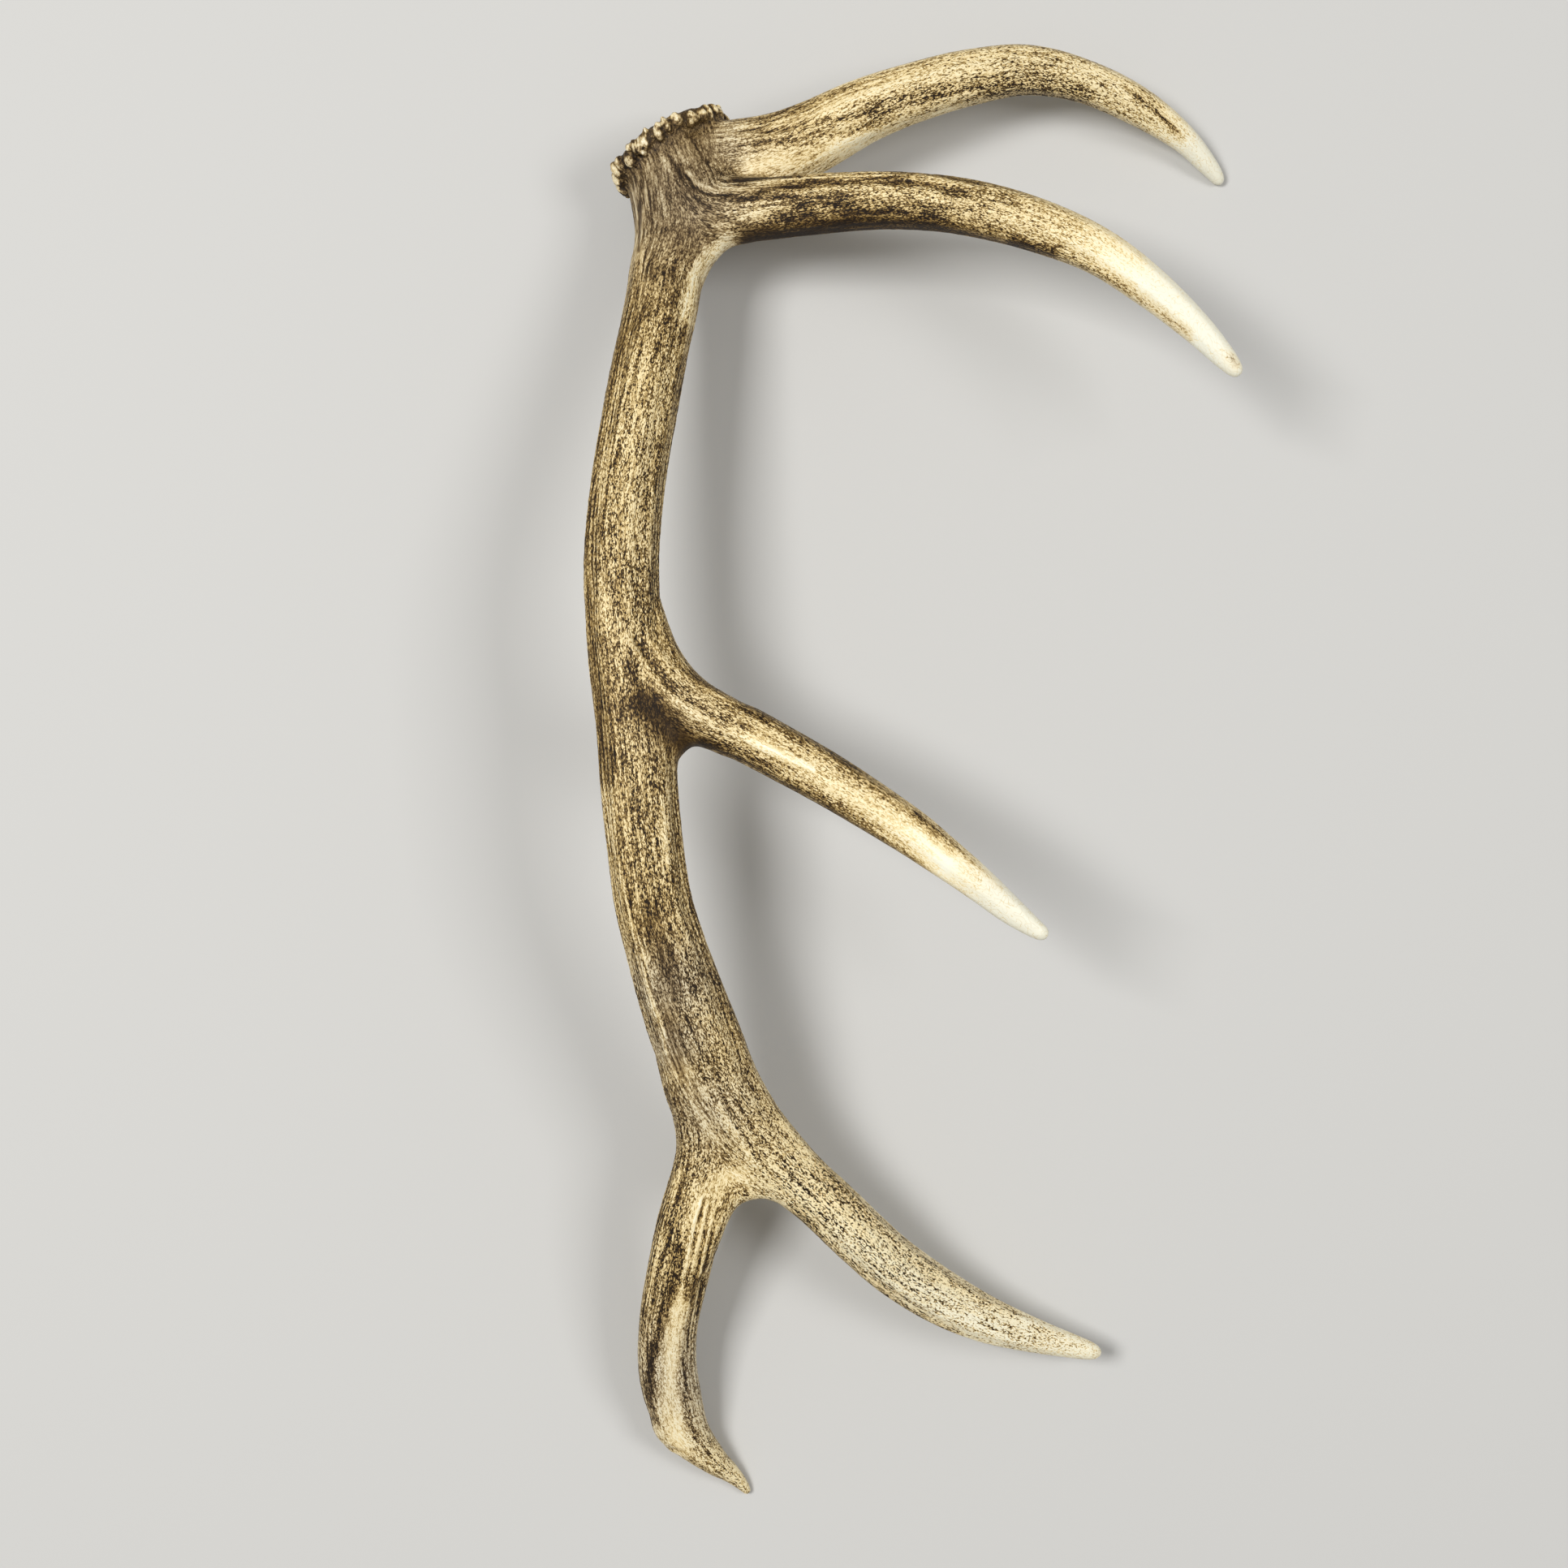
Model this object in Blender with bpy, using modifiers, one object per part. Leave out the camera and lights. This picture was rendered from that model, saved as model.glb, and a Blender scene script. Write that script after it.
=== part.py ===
"""A cast red deer antler, lying on its inner side.

Metres, +Z up. The antler is long in Y, with its burr at +Y, and its tines point to +X. It rests on
three points at Z = 0: the low edge of the burr, the tip of the brow tine and the tip of the rear
crown tine. The origin is the middle of its footprint.
"""

import math
import random

import bmesh
import bpy
import numpy as np
from mathutils import Matrix, Vector

MM = 0.001
UP = Vector((0, 0, 1))

# The middle line of each stretch of antler from root to tip, in millimetres: x, y and height of the
# middle, then the width across and the depth from top to underside at that place.
BEAM = [
    (-64, 354, 38, 60, 56), (-61, 338, 44, 55, 53), (-60, 310, 54, 49, 48), (-66, 285, 63, 43, 42),
    (-69, 265, 70, 42, 40), (-80, 204, 88, 42, 40), (-88, 140, 104, 42, 40), (-87, 86, 112, 42, 41),
    (-81, 29, 116, 42, 39), (-78, -12, 115, 42, 39), (-72, -57, 110, 43, 40), (-65, -86, 104, 45, 41),
    (-56.5, -114, 97, 48, 41), (-46.5, -143, 90, 50, 40), (-36, -168, 84, 48, 36),
    (-22.5, -190.5, 78, 46, 31), (-6.5, -207.5, 73, 41, 28), (12, -225, 68, 35, 27),
    (24, -236, 65, 34, 28), (45, -257, 58, 34, 30), (65, -275.5, 50, 34, 30), (91, -293.5, 42, 32, 27),
    (118, -307.5, 36, 27, 23), (149, -318.5, 30, 19, 17), (174, -326, 26, 11, 10), (182, -328, 25, 5, 5),
]
REAR_CROWN = [
    (-52, -149, 87, 39, 32), (-48, -167, 83, 38, 30), (-44, -184, 78, 36, 28), (-43.5, -208, 72, 35, 27),
    (-54, -250, 62, 37, 30), (-62, -286, 50, 36, 32), (-66, -308, 42, 35, 31), (-67, -332, 34, 35, 31),
    (-63.5, -355, 26, 34, 29), (-56, -376, 18, 28, 25), (-41, -393.5, 12, 17, 17), (-32, -401.5, 8, 12, 12),
    (-25, -409, 5, 8, 8), (-21, -415, 2.5, 5, 5),
]
BROW = [
    (-54, 353, 42, 44, 37), (-28, 353, 48, 48, 37), (-5, 357, 52, 46, 36), (17, 366, 55, 41, 34),
    (45, 380, 56, 37, 33), (75, 391.5, 54, 34, 31), (107, 401, 50, 32, 29), (139, 406.5, 44, 29, 26),
    (171.5, 402, 37, 25, 23), (202.5, 390, 28, 21, 19), (229.5, 375, 17, 15, 14), (246.5, 360.5, 8, 10, 9),
    (256, 352, 2.5, 4, 5),
]
BEZ = [
    (-62, 333, 55, 40, 38), (-44, 321, 62, 41, 37), (-16, 321, 70, 36, 34), (8, 322, 76, 35, 33),
    (48, 322.5, 86, 33, 31), (81, 319.5, 94, 32, 30), (112, 312.5, 101, 31, 28), (143, 301.5, 108, 29, 26),
    (171.5, 287.5, 113, 26, 23), (197.5, 267.5, 118, 22, 19), (220.5, 245.5, 121, 16, 14),
    (236.5, 228.5, 122, 10, 9), (245.5, 219.5, 122, 5, 5),
]
TREZ = [
    (-84, 100, 108, 34, 35), (-73, 66, 112, 37, 36), (-55, 44, 116, 36, 34), (-31, 31, 120, 32, 31),
    (-17, 25, 122, 31, 29), (25, 1.5, 130, 29, 26), (64, -23.5, 136, 26, 23), (83, -37.5, 138, 23, 20),
    (102.5, -52.5, 139, 18, 17), (120, -67, 140, 14, 13), (134, -77, 140, 8, 8), (139, -80, 140, 5, 5),
]
STRETCHES = {"beam": BEAM, "rear_crown": REAR_CROWN, "brow": BROW, "bez": BEZ, "trez": TREZ}
RING_SIDES = 36
RING_STEP = 5  # mm along the middle line

# Shallow flutes run the length of every stretch: how many go round it, and half their depth in mm.
FLUTES = {"beam": (9, 0.6), "rear_crown": (8, 0.4), "brow": (7, 0.4), "bez": (7, 0.4), "trez": (7, 0.4)}
FLUTE_WANDER = 0.012  # radians a millimetre, the slow turn of the flutes about the middle line
FLUTE_FADE = 60  # mm before a tip over which the flutes wear away

# The burr is a thick oval collar round the cast face. Its outward axis points back, down and left.
BURR_MIDDLE = (-65.5, 362.5, 36)
BURR_AXIS = (-0.52, 0.835, -0.18)
BURR_SIZE = (74, 66, 20)  # mm, along its long way, across it, and through it
PEARLS = 30
PEARL_SIZE = (6.6, 7.5, 11)  # mm, along the rim, out from it, and across it
PEARL_SIZES_VARY = (0.8, 1.2)
PEARL_STEPS_VARY = (-0.2, 0.2)  # of the step from one pearl to the next
PEARL_REACH = (0.92, 0.98)  # of the collar's half size, where the middles of the pearls lie
PEARL_SPREAD = (-4, 2)  # mm along the burr's axis, how far they stray from its middle
CAST_FACE_INSET = 6.5  # mm from the burr's middle out to the flat face that the antler was cast from

# Webs of antler fill the forks, as ovals: middle, size, and heading in degrees.
WEBS = [
    ((-24, -208, 72.5), (50, 53, 17), 0),  # across the crown's fork
    ((-37, -228, 68), (28, 46, 20), -12),  # along the rear crown tine's inner side
    ((-59, 23.5, 116), (20, 21, 18), 0),  # under the trez tine
    ((-40, 337, 54), (50, 40, 26), 0),  # between the brow and bez tines
    ((-49, 303, 62), (34, 27, 22), 15),  # under the bez tine
]

# The rear crown tine is worn flat on top, as by rubbing: the middle of the flat, its slope, and the box
# that is taken away above it.
WORN_FLAT = (-62, -335, 46)
WORN_SLOPE = math.radians(22.3)
WORN_SIZE = (40, 130, 12)
HEEL = ((-62.5, -381, 17), (16, 15, 15))  # mm, middle and size of the blunt corner beside its spike

# Each fork is parted by one saw cut square to the stretch, at this station of its middle line.
SAW_CUTS = [("beam", 9), ("beam", 17), ("rear_crown", 4), ("brow", 3), ("bez", 3), ("trez", 3)]
SAW_KERF = 0.3
SAW_WIDTH = {"beam": 58, "rear_crown": 52, "brow": 46, "bez": 42, "trez": 44}

VOXEL = 1.5  # mm, the grain of the skin that joins the stretches
FORK_ROUNDING = 40  # passes of smoothing in the forks
SKIN_ROUNDING = 3  # passes of smoothing all over
FORKS = [  # mm, middle and reach of each fork that is rounded
    ((-30, 345, 58), 46), ((-44, 306, 62), 44), ((-52, 34, 116), 40), ((-14, -228, 69), 46),
]
FORK_FADE = 2.5  # how fast the rounding grows in from the reach: full at 1 / this of the way
FACES_KEPT = 0.0235  # of the skin's faces, the share that its shape needs

# One place on each piece, to know it by, and its colour as sRGB hex.
PIECES = {
    "lower_beam": ((-85, 150, 103), "7C6747"),
    "brow_tine": ((106, 400, 50), "B9A47B"),
    "bez_tine": ((112, 312, 101), "C2AE86"),
    "upper_beam": ((-65, -86, 104), "8C7650"),
    "trez_tine": ((64, -24, 136), "CDBB93"),
    "crown_front_tine": ((92, -293, 42), "C4AF84"),
    "crown_rear_tine": ((-66, -320, 38), "AF9E79"),
}
ANTLER_ROUGHNESS = 0.42
SHARP_ANGLE = math.radians(50)  # faces that meet more steeply than this keep their edge


def clear_scene():
    for thing in list(bpy.data.objects):
        bpy.data.objects.remove(thing)


def collection_named(name):
    made = bpy.data.collections.new(name)
    bpy.context.scene.collection.children.link(made)
    return made


def add_object(name, bm, collection):
    """A new object that holds the mesh built in bm."""
    bmesh.ops.recalc_face_normals(bm, faces=bm.faces)
    mesh = bpy.data.meshes.new(name)
    bm.to_mesh(mesh)
    bm.free()
    made = bpy.data.objects.new(name, mesh)
    collection.objects.link(made)
    return made


def add_helper(name, bm, cutters):
    """An object that only shapes others: it shows as wires and never renders."""
    made = add_object(name, bm, cutters)
    made.hide_render = True
    made.display_type = "WIRE"
    return made


def apply_modifiers(thing):
    """Gives the object its own evaluated mesh, with no modifiers left on it."""
    graph = bpy.context.evaluated_depsgraph_get()
    thing.data = bpy.data.meshes.new_from_object(thing.evaluated_get(graph))
    thing.modifiers.clear()


def along(stations):
    """Rings a few millimetres apart on a smooth line through the stations: place, heading, sizes.

    Every number of a station follows the same Catmull-Rom curve.
    """
    knots = np.array(stations, float)
    knots = np.vstack([2 * knots[0] - knots[1], knots, 2 * knots[-1] - knots[-2]])
    rows = []
    for before, start, end, after in zip(knots, knots[1:], knots[2:], knots[3:]):
        steps = max(1, round(np.linalg.norm(end[:3] - start[:3]) / RING_STEP))
        for t in np.arange(steps) / steps:
            bend = 2 * before - 5 * start + 4 * end - after
            turn = 3 * (start - end) + after - before
            rows.append(start + 0.5 * t * ((end - before) + t * (bend + t * turn)))
    rows = np.array(rows + [knots[-2]])
    headings = np.gradient(rows[:, :3], axis=0)
    headings /= np.linalg.norm(headings, axis=1)[:, None]
    return rows[:, :3].tolist(), headings.tolist(), rows[:, 3:].tolist()


def section_axes(heading):
    """The level way across a stretch of antler, and the way that is square to both."""
    side = Vector(heading).cross(UP).normalized()
    return side, side.cross(Vector(heading))


def add_stretch(bm, name):
    """Lofts one stretch of antler through fluted oval rings and closes both ends."""
    places, headings, sizes = along(STRETCHES[name])
    run = np.append(0, np.cumsum(np.linalg.norm(np.diff(places, axis=0), axis=1))).tolist()
    flutes, flute_depth = FLUTES[name]
    rings = []
    for place, heading, (width, depth), s in zip(places, headings, sizes, run):
        side, lift = section_axes(heading)
        worn = min(1, (run[-1] - s) / FLUTE_FADE)
        ring = []
        for i in range(RING_SIDES):
            angle = 2 * math.pi * i / RING_SIDES
            ripple = worn * flute_depth * (math.cos(flutes * angle + FLUTE_WANDER * s) - 1)
            across = (width / 2 + ripple) * math.cos(angle)
            up = (depth / 2 + ripple) * math.sin(angle)
            ring.append(bm.verts.new((Vector(place) + across * side + up * lift) * MM))
        rings.append(ring)
    for near, far in zip(rings, rings[1:]):
        for i in range(RING_SIDES):
            bm.faces.new((near[i - 1], near[i], far[i], far[i - 1]))
    for end in (rings[0], rings[-1]):
        bm.faces.new(end)


def add_ovoid(bm, middle, size, turn=Matrix(), segments=24):
    """A sphere stretched to size, in millimetres, turned, and put at its middle."""
    place = Matrix.Translation(Vector(middle) * MM)
    stretch = Matrix.Diagonal((*(Vector(size) * MM / 2), 1))
    bmesh.ops.create_uvsphere(
        bm, u_segments=segments, v_segments=segments // 2, radius=1, matrix=place @ turn @ stretch
    )


def burr_turn():
    """Turns +Z to the burr's outward axis, and +X to the long way of its oval, which lies level."""
    axis = Vector(BURR_AXIS).normalized()
    level = axis.cross(UP).normalized()
    return Matrix((level, axis.cross(level), axis)).transposed().to_4x4()


def add_pearls(cutters):
    """The knobs of antler that stand round the rim of the burr's collar."""
    turn = burr_turn()
    rng = random.Random(3)
    bm = bmesh.new()
    for i in range(PEARLS):
        angle = 2 * math.pi * (i + rng.uniform(*PEARL_STEPS_VARY)) / PEARLS
        reach = rng.uniform(*PEARL_REACH) / 2
        rim = Vector((BURR_SIZE[0] * math.cos(angle), BURR_SIZE[1] * math.sin(angle), 0)) * reach
        rim.z = rng.uniform(*PEARL_SPREAD)
        size = [length * rng.uniform(*PEARL_SIZES_VARY) for length in PEARL_SIZE]
        facing = Matrix.Rotation(angle + math.pi / 2, 4, "Z")
        add_ovoid(bm, Vector(BURR_MIDDLE) + turn.to_3x3() @ rim, size, turn @ facing, segments=8)
    return add_helper("pearls", bm, cutters)


def rounding_group(skin):
    """A vertex group that is full in the middle of each fork and fades out at its reach."""
    group = skin.vertex_groups.new(name="forks")
    for vert in skin.data.vertices:
        place = vert.co / MM
        share = max(1 - (place - Vector(middle)).length / reach for middle, reach in FORKS)
        if share > 0:
            group.add([vert.index], min(1, share * FORK_FADE), "REPLACE")
    return group


def grow_skin(collection):
    """One closed skin over all the stretches, rounded in the forks as grown antler is."""
    bm = bmesh.new()
    for name in STRETCHES:
        add_stretch(bm, name)
    for middle, size, heading in WEBS:
        add_ovoid(bm, middle, size, Matrix.Rotation(math.radians(heading), 4, "Z"))
    add_ovoid(bm, *HEEL)
    add_ovoid(bm, BURR_MIDDLE, BURR_SIZE, burr_turn(), segments=36)
    skin = add_object("skin", bm, collection)
    joined = skin.modifiers.new("grown as one", "REMESH")
    joined.mode = "VOXEL"
    joined.voxel_size = VOXEL * MM
    apply_modifiers(skin)
    forks = skin.modifiers.new("forks", "SMOOTH")
    forks.vertex_group = rounding_group(skin).name
    forks.iterations = FORK_ROUNDING
    over_all = skin.modifiers.new("skin", "SMOOTH")
    over_all.iterations = SKIN_ROUNDING
    apply_modifiers(skin)
    return skin


def add_box(name, size, place, cutters):
    """A box in millimetres, to cut with, under the given placing."""
    bm = bmesh.new()
    bmesh.ops.create_cube(bm, size=1, matrix=place @ Matrix.Diagonal((*(Vector(size) * MM), 1)))
    return add_helper(name, bm, cutters)


def combine(thing, other, operation):
    """Joins the other solid to the object, or takes it away."""
    modifier = thing.modifiers.new(other.name, "BOOLEAN")
    modifier.operation = operation
    modifier.solver = "EXACT"
    modifier.use_self = True
    modifier.object = other


def cut_worn_flat(skin, cutters):
    place = Matrix.Translation(Vector(WORN_FLAT) * MM) @ Matrix.Rotation(WORN_SLOPE, 4, "X")
    place = place @ Matrix.Translation((0, 0, WORN_SIZE[2] / 2 * MM))
    combine(skin, add_box("worn_flat", WORN_SIZE, place, cutters), "DIFFERENCE")


def thin_faces(skin):
    """Keeps the faces that the shape needs, most of them on the burr, the flutes and the tips."""
    skin.modifiers.new("fewer faces", "DECIMATE").ratio = FACES_KEPT
    apply_modifiers(skin)


def cut_cast_face(skin, cutters):
    """Flattens the burr's end, where the antler came away from the skull."""
    side = 2 * BURR_SIZE[0]
    place = Matrix.Translation(Vector(BURR_MIDDLE) * MM) @ burr_turn()
    place = place @ Matrix.Translation((0, 0, (CAST_FACE_INSET + side / 2) * MM))
    combine(skin, add_box("cast_face", (side, side, side), place, cutters), "DIFFERENCE")


def cut_forks(skin, cutters):
    """One thin saw cut across each fork, square to the stretch that it parts."""
    for name, station in SAW_CUTS:
        stations = STRETCHES[name]
        place = Vector(stations[station][:3])
        ahead = (Vector(stations[station + 1][:3]) - Vector(stations[station - 1][:3])).normalized()
        side, lift = section_axes(ahead)
        turn = Matrix((side, lift, ahead)).transposed().to_4x4()
        size = (SAW_WIDTH[name], SAW_WIDTH[name], SAW_KERF)
        box = add_box(f"saw_{name}_{station}", size, Matrix.Translation(place * MM) @ turn, cutters)
        combine(skin, box, "DIFFERENCE")


def set_down(skin, cutters):
    """Moves the skin and the cutters beside it so that it rests on Z = 0 round the origin."""
    low = Vector([min(v.co[i] for v in skin.data.vertices) for i in range(3)])
    high = Vector([max(v.co[i] for v in skin.data.vertices) for i in range(3)])
    home = Vector((-(low.x + high.x) / 2, -(low.y + high.y) / 2, -low.z))
    for thing in cutters.objects:
        thing.data.transform(Matrix.Translation(home))
    return home


def linear(hex_colour):
    """A colour as Blender wants it, from sRGB hex."""
    levels = [int(hex_colour[i : i + 2], 16) / 255 for i in (0, 2, 4)]
    return [c / 12.92 if c <= 0.04045 else ((c + 0.055) / 1.055) ** 2.4 for c in levels]


def antler_material(name, hex_colour):
    material = bpy.data.materials.new(name)
    material.use_nodes = True
    shader = material.node_tree.nodes["Principled BSDF"]
    shader.inputs["Base Color"].default_value = (*linear(hex_colour), 1)
    shader.inputs["Roughness"].default_value = ANTLER_ROUGHNESS
    shader.inputs["Metallic"].default_value = 0
    return material


def part_pieces(skin, home, collection):
    """Parts the sawn skin into its loose pieces, and names each by the place that lies nearest."""
    bm = bmesh.new()
    bm.from_mesh(skin.data)
    bm.verts.ensure_lookup_table()
    unseen = set(bm.verts)
    islands = []
    while unseen:
        reached = [unseen.pop()]
        for vert in reached:
            near = {edge.other_vert(vert) for edge in vert.link_edges} & unseen
            unseen -= near
            reached.extend(near)
        islands.append(reached)
    for name, (place, hex_colour) in PIECES.items():
        mark = Vector(place) * MM + home
        island = min(islands, key=lambda verts: min((v.co - mark).length for v in verts))
        islands.remove(island)
        keep = set(island)
        piece = bm.copy()
        others = [v for v, source in zip(piece.verts, bm.verts) if source not in keep]
        bmesh.ops.delete(piece, geom=others, context="VERTS")
        made = add_object(name, piece, collection)
        made.data.materials.clear()
        made.data.materials.append(antler_material(name, hex_colour))
        made.data.shade_smooth()
        made.data.set_sharp_from_angle(angle=SHARP_ANGLE)
    bm.free()


def main():
    clear_scene()
    antler = collection_named("antler")
    cutters = collection_named("cutters")
    skin = grow_skin(cutters)
    cut_worn_flat(skin, cutters)
    apply_modifiers(skin)
    thin_faces(skin)
    combine(skin, add_pearls(cutters), "UNION")
    cut_cast_face(skin, cutters)
    cut_forks(skin, cutters)
    apply_modifiers(skin)
    home = set_down(skin, cutters)
    part_pieces(skin, home, antler)
    bpy.data.objects.remove(skin)


if __name__ == "__main__":
    main()
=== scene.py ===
import math
import random

import bmesh
import bpy
import numpy as np
from mathutils import Matrix, Vector


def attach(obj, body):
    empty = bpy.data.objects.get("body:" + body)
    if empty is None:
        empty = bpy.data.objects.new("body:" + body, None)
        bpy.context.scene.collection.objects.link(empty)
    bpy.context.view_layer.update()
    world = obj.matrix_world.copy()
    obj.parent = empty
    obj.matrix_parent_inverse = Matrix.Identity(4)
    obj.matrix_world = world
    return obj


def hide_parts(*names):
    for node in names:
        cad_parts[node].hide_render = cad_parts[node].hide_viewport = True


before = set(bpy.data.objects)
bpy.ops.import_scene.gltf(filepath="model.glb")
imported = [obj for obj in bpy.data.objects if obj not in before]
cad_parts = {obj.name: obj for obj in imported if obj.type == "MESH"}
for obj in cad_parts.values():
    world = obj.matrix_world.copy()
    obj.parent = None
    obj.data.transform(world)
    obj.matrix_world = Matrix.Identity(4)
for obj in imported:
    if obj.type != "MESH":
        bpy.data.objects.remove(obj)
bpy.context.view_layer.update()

# --- The middle lines of the antler ---
# A cast antler of a red deer is solid bone that grew from one root. Its beam and each of its tines
# is a curved stretch with an oval section, so each is drawn as a line with a width and a depth.

UP = Vector((0, 0, 1))

# From root to tip, in millimetres: x, y and height of the middle, width across, depth top to underside.
BEAM = [
    (-64, 354, 38, 60, 56), (-61, 338, 44, 55, 53), (-60, 310, 54, 49, 48), (-66, 285, 63, 43, 42),
    (-69, 265, 70, 42, 40), (-80, 204, 88, 42, 40), (-88, 140, 104, 42, 40), (-87, 86, 112, 42, 41),
    (-80.2, 29, 116, 43, 39), (-77.2, -12, 115, 42.5, 39), (-72, -57, 110, 43, 40), (-65, -86, 104, 45, 41),
    (-56.5, -114, 97, 48, 41), (-46.5, -143, 90, 50, 40), (-36, -168, 84, 48, 36),
    (-22.5, -190.5, 78, 46, 31), (-6.5, -207.5, 73, 41, 28), (12, -225, 68, 35, 27),
    (24, -236, 65, 34, 28), (45, -257, 58, 34, 30), (65, -275.5, 50, 34, 30), (91, -293.5, 42, 32, 27),
    (118, -307.5, 36, 27, 23), (149, -318.5, 30, 19, 17), (174, -326, 26, 12, 11),
    (181, -328, 25, 7.5, 7.5), (183, -328.5, 25, 4, 4),
]
REAR_CROWN = [
    (-57, -116, 96, 36, 28), (-54.5, -133, 92, 37, 30), (-52, -149, 87, 38, 32), (-48, -167, 83, 38, 30),
    (-44, -184, 78, 36, 28), (-43.5, -208, 72, 35, 27), (-54, -250, 62, 37, 30), (-62, -286, 50, 36, 32),
    (-66, -308, 42, 35, 31), (-67, -332, 34, 35, 31), (-63.5, -355, 26, 34, 29), (-56, -376, 18, 28, 25),
    (-41, -393.5, 12, 17, 17), (-32, -401.5, 8, 12, 12), (-25, -409, 5, 8, 8), (-21, -415, 2.5, 5, 5),
]
BROW = [
    (-54, 353, 42, 44, 37), (-28, 353, 48, 48, 37), (-5, 357, 52, 46, 36), (17, 366, 55, 41, 34),
    (45, 380, 56, 37, 33), (75, 391.5, 54, 34, 31), (107, 401, 50, 32, 29), (139, 406.5, 44, 29, 26),
    (171.5, 402, 37, 25, 23), (203, 390.5, 28, 23, 20), (230, 375.5, 17.5, 17, 15), (247, 361, 9, 12, 11),
    (255, 353, 3.8, 7.5, 7.5), (256.6, 351.2, 3.6, 4, 4),
]
BEZ = [
    (-60, 367, 36, 30, 26), (-57, 352, 44, 34, 30), (-50, 334, 55, 39, 37), (-38, 322, 63, 41, 38),
    (-16, 321, 70, 36, 34), (8, 322, 76, 35, 33), (48, 322.5, 86, 33, 31), (81, 319.5, 94, 32, 30),
    (112, 312.5, 101, 31, 28), (143, 301.5, 108, 29, 26), (171.5, 287.5, 113, 26, 23),
    (197.5, 267.5, 118, 23, 20), (221, 246, 121, 18, 15.5), (237, 229, 122, 13, 11),
    (243.5, 221.5, 122, 8.5, 8), (245, 219.5, 122, 4.5, 4.5),
]
TREZ = [
    (-84, 100, 108, 34, 35), (-73, 66, 112, 37, 36), (-55, 44, 116, 36, 34), (-31, 31, 120, 32, 31),
    (-17, 25, 122, 31, 29), (25, 1.5, 130, 29, 26), (64, -23.5, 136, 26, 23), (83, -37.5, 138, 23, 20),
    (102.5, -52.5, 139, 19.5, 18), (120, -67, 140, 15.5, 14), (133.5, -77, 140, 10.5, 10),
    (138, -79.7, 140, 8, 8), (140, -81, 140, 4.5, 4.5),
]
STRETCHES = {"beam": BEAM, "rear_crown": REAR_CROWN, "brow": BROW, "bez": BEZ, "trez": TREZ}
RING_SIDES = 60
RING_STEP = 2.5  # mm along the middle line
# The broad flutes of each stretch: how many go round it, and half their depth in millimetres.
FLUTES = {"beam": (9, 0.6), "rear_crown": (8, 0.4), "brow": (7, 0.4), "bez": (7, 0.4), "trez": (7, 0.4)}
FLUTE_WANDER = 0.012  # radians a millimetre, how they wind round it
FLUTE_FADE = 60  # mm before a tip


def middle_line(stations):
    """A smooth line through the stations, as rows of places, headings, sides, lifts, sizes and run."""
    knots = np.array(stations, float)
    knots = np.vstack([2 * knots[0] - knots[1], knots, 2 * knots[-1] - knots[-2]])
    rows = []
    for before, start, end, after in zip(knots, knots[1:], knots[2:], knots[3:]):
        steps = max(1, round(np.linalg.norm(end[:3] - start[:3]) / RING_STEP))
        for t in np.arange(steps) / steps:
            bend = 2 * before - 5 * start + 4 * end - after
            turn = 3 * (start - end) + after - before
            rows.append(start + 0.5 * t * ((end - before) + t * (bend + t * turn)))
    rows = np.array(rows + [knots[-2]])
    places = rows[:, :3]
    headings = np.gradient(places, axis=0)
    headings /= np.linalg.norm(headings, axis=1)[:, None]
    sides = np.cross(headings, UP)
    sides /= np.linalg.norm(sides, axis=1)[:, None]
    lifts = np.cross(sides, headings)
    run = np.append(0, np.cumsum(np.linalg.norm(np.diff(places, axis=0), axis=1)))
    return places, headings, sides, lifts, rows[:, 3:], run


LINES = {name: middle_line(stations) for name, stations in STRETCHES.items()}


def add_stretch(bm, line, flutes=1, flute_depth=0):
    """Lofts one stretch through fluted oval rings and closes both ends."""
    places, _, sides, lifts, sizes, run = line
    angles = np.arange(RING_SIDES) * 2 * math.pi / RING_SIDES
    rings = []
    for place, side, lift, (width, depth), s in zip(places, sides, lifts, sizes, run):
        worn = min(1, (run[-1] - s) / FLUTE_FADE)
        ripple = worn * flute_depth * (np.cos(flutes * angles + FLUTE_WANDER * s) - 1)
        across = (width / 2 + ripple) * np.cos(angles)
        up = (depth / 2 + ripple) * np.sin(angles)
        ring = place + across[:, None] * side + up[:, None] * lift
        rings.append([bm.verts.new(point) for point in ring.tolist()])
    for near, far in zip(rings, rings[1:]):
        for i in range(RING_SIDES):
            bm.faces.new((near[i - 1], near[i], far[i], far[i - 1]))
    for end in (rings[0], rings[-1]):
        bm.faces.new(end)


# --- The burr and its pearls ---
# The burr is the coronet of bone at the root, round the face where the antler broke away from the
# skull. Blood vessels once ran between its knobs, which are called pearls.

BURR_MIDDLE = Vector((-65.5, 362.5, 36))
BURR_AXIS = Vector((-0.52, 0.835, -0.18)).normalized()
BURR_SIZE = (74, 66, 20)
PEARLS = 30  # in each ring
# The large pearls and the small ones between them: their usual size, and the ranges of their places
# round the rim in steps, of their reach from the middle, of their places along the axis, and of their
# growth.
PEARL_RINGS = [
    ((5.6, 7.0, 10.0), (-0.2, 0.2), (0.92, 0.98), (-4, 2), (0.8, 1.2)),
    ((3.8, 6.0, 5.0), (0.3, 0.7), (0.90, 0.97), (-6, 5), (0.7, 1.3)),
]

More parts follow.
